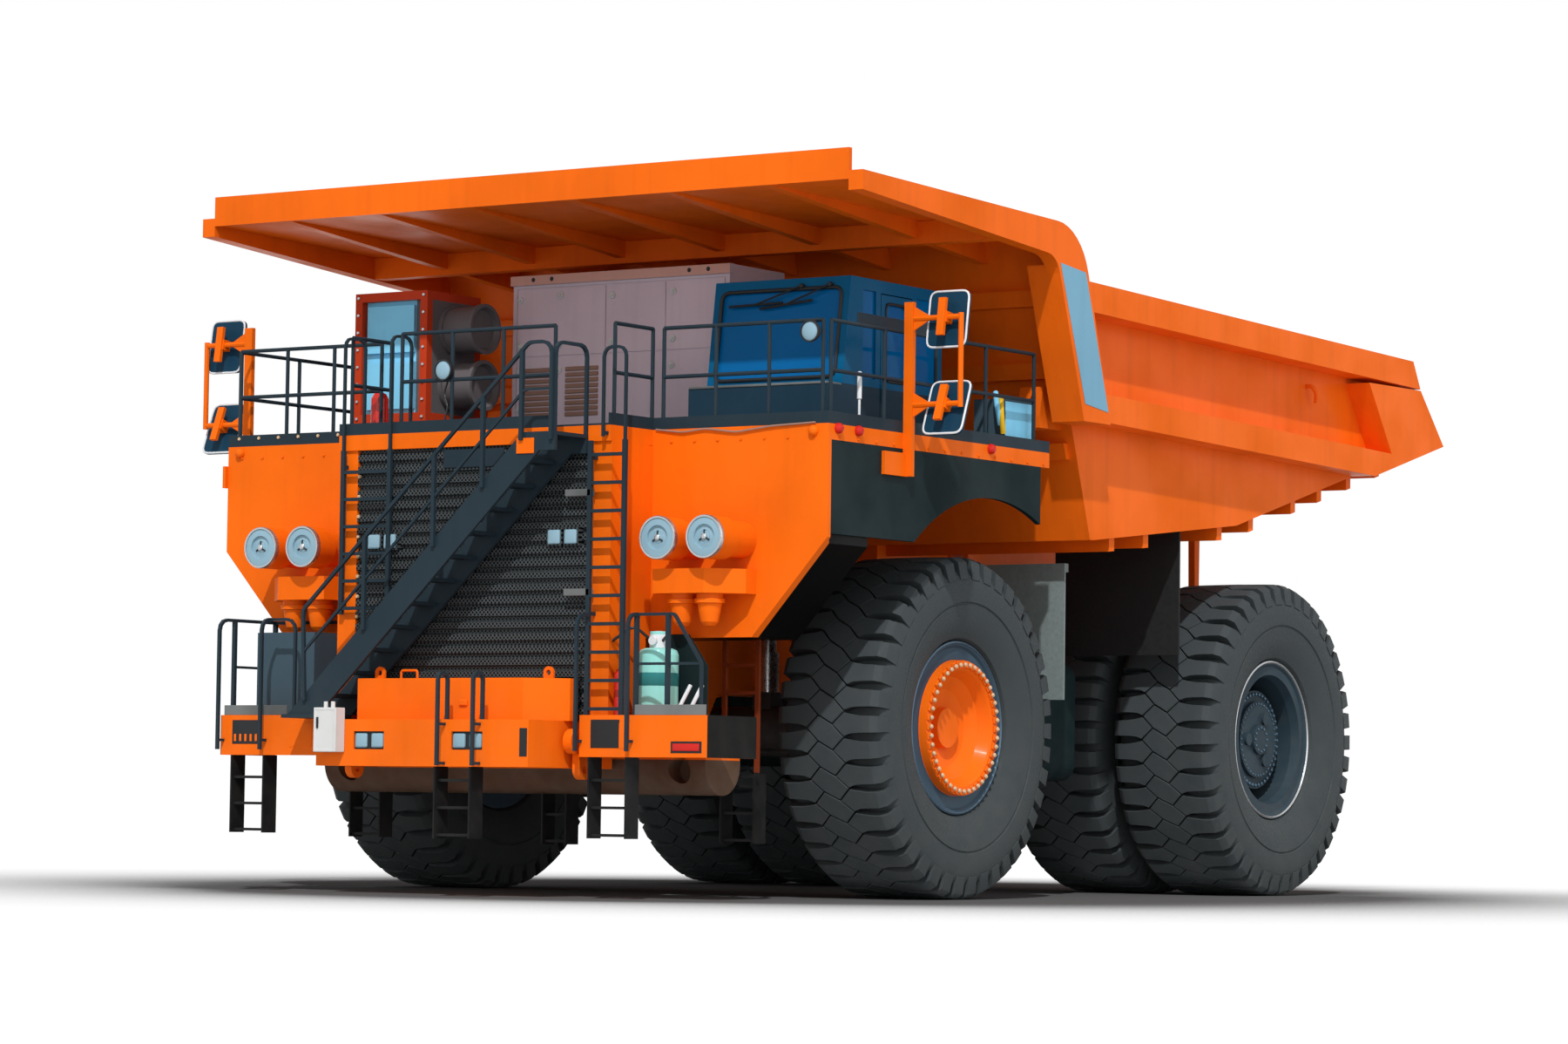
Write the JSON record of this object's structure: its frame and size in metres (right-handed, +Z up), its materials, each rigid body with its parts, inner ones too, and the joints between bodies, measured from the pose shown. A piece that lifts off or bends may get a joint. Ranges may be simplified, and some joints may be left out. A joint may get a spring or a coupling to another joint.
{
  "type": "mining dump truck",
  "caption": "Rigid-frame mining dump truck with a tipping load body, canopy, raised cab, front stair, steered front wheels and twin rear wheels",
  "frame": {"origin": "on the ground under the middle of the whole truck", "axes": "the front faces -Y, the cab stands on the +X side, +Z is up"},
  "size_m": [9.68, 15.76, 7.923],
  "materials": {
    "black_mesh": "matte",
    "body_paint": "satin",
    "bright_steel": "ground",
    "cab_paint": "satin",
    "cabinet_paint": "satin",
    "cast_steel": "rough",
    "dark_grey_paint": "satin",
    "engine_block": "painted",
    "flap_rubber": "matte",
    "mirror_black": "matte",
    "orange_paint": "semi-gloss",
    "red_paint": "gloss",
    "resistor_paint": "satin",
    "rim_paint": "satin",
    "seat_black": "matte",
    "slate_paint": "satin",
    "teal_paint": "semi-gloss",
    "tyre_rubber": "worn",
    "window_glass": "clear"
  },
  "bodies": {
    "chassis": {"frame": "orange_paint", "front_bumper": "orange_paint", "tow_eyes": "orange_paint", "engine": "engine_block", "radiator": "black_mesh", "grille": "black_mesh", "nose_and_fenders": "orange_paint", "headlamps": "orange_paint", "air_cleaners": "orange_paint", "deck": "slate_paint", "deck_beam": "orange_paint", "skirts": "dark_grey_paint", "cab_shell": "cab_paint", "cab_glass": "window_glass", "cab_interior": "seat_black", "control_cabinet": "cabinet_paint", "resistor_units": "resistor_paint", "resistor_rack": "orange_paint", "stairs": "slate_paint", "stair_rails": "slate_paint", "ladders": "slate_paint", "deck_rails": "slate_paint", "mirror_brackets": "orange_paint", "mirrors": "mirror_black", "lube_tank": "teal_paint", "battery_box": "dark_grey_paint", "extinguishers": "red_paint", "tanks": "orange_paint", "front_flaps": "flap_rubber", "front_axle": "cast_steel", "rear_axle": "cast_steel", "suspension_struts": "bright_steel"},
    "cab_door": {"cab_door": "cab_paint", "door_glass": "window_glass"},
    "dump_body": {"body_floor": "body_paint", "body_headboard": "body_paint", "body_sides": "body_paint", "canopy": "body_paint", "rear_flaps": "flap_rubber", "rock_ejectors": "body_paint"},
    "hoist_barrels": {"hoist_barrels": "orange_paint"},
    "hoist_sleeves": {"hoist_sleeves": "bright_steel"},
    "hoist_rods": {"hoist_rods": "bright_steel"},
    "knuckle_left": {"knuckle_left": "cast_steel"},
    "knuckle_right": {"knuckle_right": "cast_steel"},
    "tie_rod": {"tie_rod": "cast_steel"},
    "front_wheel_left": {"front_tyre_left": "tyre_rubber", "front_rim_left": "orange_paint"},
    "front_wheel_right": {"front_tyre_right": "tyre_rubber", "front_rim_right": "orange_paint"},
    "rear_wheels_left": {"rear_tyres_left": "tyre_rubber", "rear_rims_left": "rim_paint"},
    "rear_wheels_right": {"rear_tyres_right": "tyre_rubber", "rear_rims_right": "rim_paint"}
  },
  "joints": [
    {"name": "body_tip", "type": "hinge", "parent": "chassis", "child": "dump_body", "pos_m": [0, 5.53, 3.32], "axis": [-1, 0, 0], "range_deg": [0, 45]},
    {"name": "hoist_swing", "type": "hinge", "parent": "chassis", "child": "hoist_barrels", "pos_m": [0, 1.78, 1.5], "axis": [-1, 0, 0], "range_deg": [0, 22.25]},
    {"name": "hoist_sleeve_out", "type": "slide", "parent": "hoist_barrels", "child": "hoist_sleeves", "axis": [0, -0.1414, 0.9899], "range_m": [0, 1.4515]},
    {"name": "hoist_rod_out", "type": "slide", "parent": "hoist_sleeves", "child": "hoist_rods", "axis": [0, -0.1414, 0.9899], "range_m": [0, 1.4515]},
    {"name": "steer_left", "type": "hinge", "parent": "chassis", "child": "knuckle_left", "pos_m": [2.35, -2.82, 1.9], "axis": [0, 0, 1], "range_deg": [-36, 36]},
    {"name": "steer_right", "type": "hinge", "parent": "chassis", "child": "knuckle_right", "pos_m": [-2.35, -2.82, 1.9], "axis": [0, 0, 1], "range_deg": [-36, 36]},
    {"name": "tie_rod_swing", "type": "hinge", "parent": "knuckle_left", "child": "tie_rod", "pos_m": [2.35, -2.17, 1.635], "axis": [0, 0, 1], "range_deg": [-36, 36]},
    {"name": "front_roll_left", "type": "hinge", "parent": "knuckle_left", "child": "front_wheel_left", "pos_m": [3.175, -2.82, 1.9], "axis": [1, 0, 0], "continuous": true},
    {"name": "front_roll_right", "type": "hinge", "parent": "knuckle_right", "child": "front_wheel_right", "pos_m": [-3.175, -2.82, 1.9], "axis": [1, 0, 0], "continuous": true},
    {"name": "rear_roll_left", "type": "hinge", "parent": "chassis", "child": "rear_wheels_left", "pos_m": [2.85, 3.78, 1.9], "axis": [1, 0, 0], "continuous": true},
    {"name": "rear_roll_right", "type": "hinge", "parent": "chassis", "child": "rear_wheels_right", "pos_m": [-2.85, 3.78, 1.9], "axis": [1, 0, 0], "continuous": true},
    {"name": "cab_door_swing", "type": "hinge", "parent": "chassis", "child": "cab_door", "pos_m": [3.392, -3.392, 5.8], "axis": [0, 0, 1], "range_deg": [0, 90]}
  ],
  "couplings": [
    {"joint": "hoist_swing", "follows": "body_tip", "ratio": 0.494},
    {"joint": "hoist_sleeve_out", "follows": "body_tip", "m_per_rad": 1.8475},
    {"joint": "hoist_rod_out", "follows": "body_tip", "m_per_rad": 1.8475},
    {"joint": "steer_right", "follows": "steer_left", "ratio": 1},
    {"joint": "tie_rod_swing", "follows": "steer_left", "ratio": -1}
  ]
}
